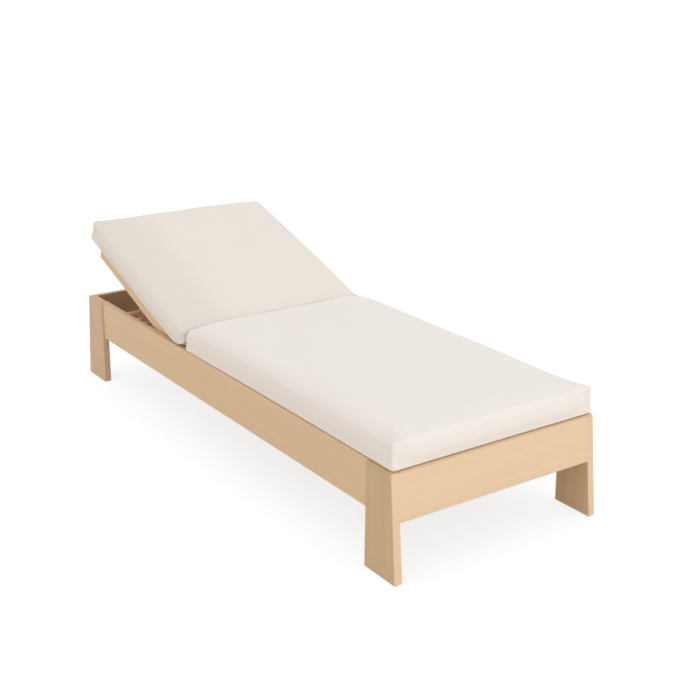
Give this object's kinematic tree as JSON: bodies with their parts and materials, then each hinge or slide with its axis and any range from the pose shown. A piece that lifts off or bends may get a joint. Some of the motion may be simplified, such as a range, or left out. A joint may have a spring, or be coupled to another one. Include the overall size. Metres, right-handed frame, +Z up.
{
  "type": "spa relaxation lounger",
  "caption": "Low timber relaxation lounger with wide raked legs, slatted bed, adjustable propped backrest and a thick folding box cushion.",
  "frame": {"origin": "on the floor under the middle of the frame, midway between the four feet", "axes": "+Z up, +Y from the foot end to the head end where the backrest rises, +X to the right seen from the foot end"},
  "size_m": [0.741, 1.9996, 0.6268],
  "materials": {
    "frame_timber": "matt oiled pale timber",
    "inner_timber": "matt sanded pale timber",
    "slat_timber": "matt sanded pale timber",
    "cushion_fabric": "cream woven outdoor fabric",
    "steel": "satin stainless",
    "brass": "plain",
    "nylon": "matt natural nylon",
    "glide_plastic": "matt dark plastic"
  },
  "bodies": {
    "frame": {"leg_foot_left": "frame_timber", "leg_foot_right": "frame_timber", "leg_head_left": "frame_timber", "leg_head_right": "frame_timber", "side_rail_left": "frame_timber", "side_rail_right": "frame_timber", "foot_board": "frame_timber", "head_board": "frame_timber", "corner_block_foot_left": "inner_timber", "corner_block_foot_right": "inner_timber", "corner_block_head_left": "inner_timber", "corner_block_head_right": "inner_timber", "seat_cross_rail": "inner_timber", "hinge_cross_rail": "inner_timber", "head_cross_rail": "inner_timber", "notched_rail_left": "inner_timber", "notched_rail_right": "inner_timber", "slat_cleat_left": "inner_timber", "slat_cleat_right": "inner_timber", "seat_slat_01": "slat_timber", "seat_slat_02": "slat_timber", "seat_slat_03": "slat_timber", "seat_slat_04": "slat_timber", "seat_slat_05": "slat_timber", "seat_slat_06": "slat_timber", "seat_slat_07": "slat_timber", "seat_slat_08": "slat_timber", "seat_slat_09": "slat_timber", "seat_slat_10": "slat_timber", "seat_slat_11": "slat_timber", "seat_slat_12": "slat_timber", "seat_slat_13": "slat_timber", "seat_slat_14": "slat_timber", "floor_glides": "glide_plastic", "pivot_bolts": "steel", "pivot_inserts": "brass", "seat_cushion": "cushion_fabric"},
    "backrest": {"back_stile_left": "frame_timber", "back_stile_right": "frame_timber", "back_rail_lower": "inner_timber", "back_rail_head": "inner_timber", "back_slat_01": "slat_timber", "back_slat_02": "slat_timber", "back_slat_03": "slat_timber", "back_slat_04": "slat_timber", "back_slat_05": "slat_timber", "back_slat_06": "slat_timber", "back_slat_07": "slat_timber", "back_slat_08": "slat_timber", "pivot_bushes": "nylon", "pivot_washers": "steel", "back_cushion": "cushion_fabric", "cushion_fold": "cushion_fabric", "cushion_hinge_flap": "cushion_fabric"},
    "prop": {"prop_arm_left": "inner_timber", "prop_arm_right": "inner_timber", "prop_head_bar": "inner_timber", "prop_foot_bar": "inner_timber"}
  },
  "joints": [
    {"name": "backrest_hinge", "type": "hinge", "parent": "frame", "child": "backrest", "pos_m": [0, 0.272, 0.274], "axis": [1, 0, 0], "range_deg": [-20, 40], "deforming": ["cushion_fold", "cushion_hinge_flap"]},
    {"name": "prop_hinge", "type": "hinge", "parent": "backrest", "child": "prop", "pos_m": [0, 0.53041, 0.36806], "axis": [1, 0, 0], "range_deg": [-80, 40]}
  ],
  "couplings": [
    {"joint": "prop_hinge", "follows": "backrest_hinge", "ratio": -2}
  ]
}
